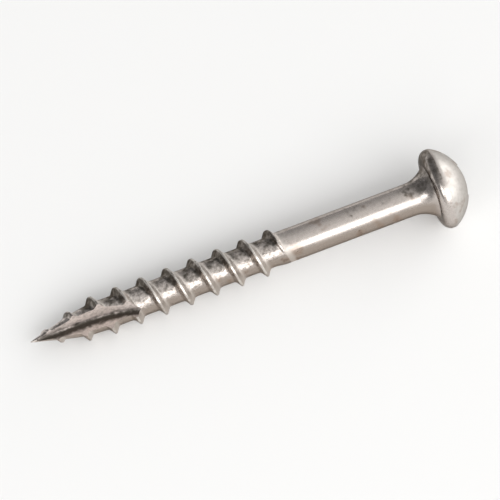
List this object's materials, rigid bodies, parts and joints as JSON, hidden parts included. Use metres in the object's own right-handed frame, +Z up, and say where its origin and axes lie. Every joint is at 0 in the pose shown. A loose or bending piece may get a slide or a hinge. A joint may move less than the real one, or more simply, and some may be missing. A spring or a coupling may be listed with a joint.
{
  "type": "pocket hole screw",
  "caption": "Round-head wood screw with a flared neck, plain shank, coarse right-hand thread and a self-drilling point with a milled flute; square recess in the dome.",
  "frame": {"origin": "middle of the footprint of the lying screw, on the surface that it lies on", "axes": "+X from the point to the head, +Z up; the screw's axis rises 3.22 degrees towards the head, and the flute faces up and towards -Y"},
  "size_m": [0.0412, 0.0074, 0.0074],
  "materials": {
    "bright_steel": "bright zinc-plated steel, semi-polished, warm grey"
  },
  "bodies": {
    "root": {"pocket_hole_screw": "bright_steel"}
  },
  "joints": []
}
